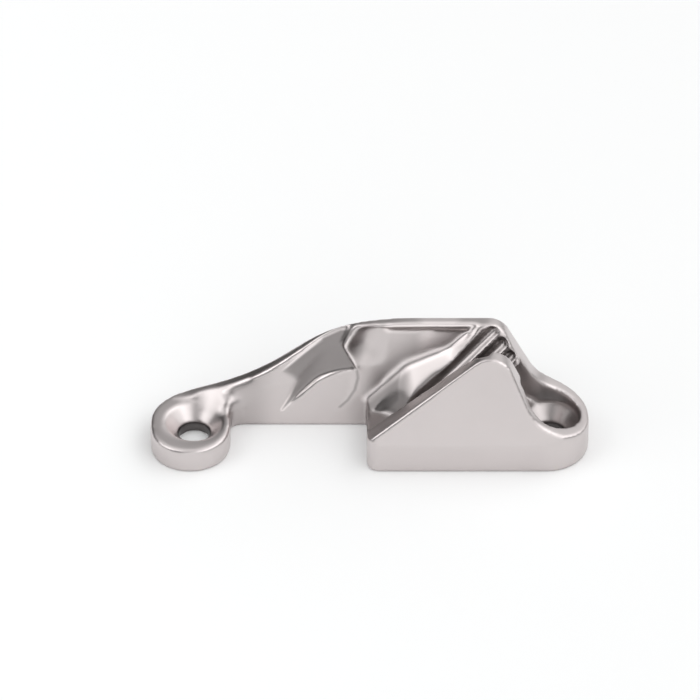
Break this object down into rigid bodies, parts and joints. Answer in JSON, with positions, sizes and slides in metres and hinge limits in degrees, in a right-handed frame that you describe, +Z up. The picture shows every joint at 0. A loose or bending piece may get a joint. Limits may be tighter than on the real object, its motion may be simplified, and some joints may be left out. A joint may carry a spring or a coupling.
{
  "type": "jam cleat",
  "caption": "One-piece side-entry jam cleat with toothed V jaws, an open fairlead arm and two countersunk screw ears.",
  "frame": {"origin": "centre of the bounding box in plan, on the deck face", "axes": "+X from the fairlead ear to the jaw ear along the rope, +Y towards the flat back of the arm, +Z up off the deck"},
  "size_m": [0.082, 0.0176, 0.0232],
  "materials": {
    "cleat_metal": "satin silver anodised"
  },
  "bodies": {
    "root": {"cleat": "cleat_metal"}
  },
  "joints": []
}
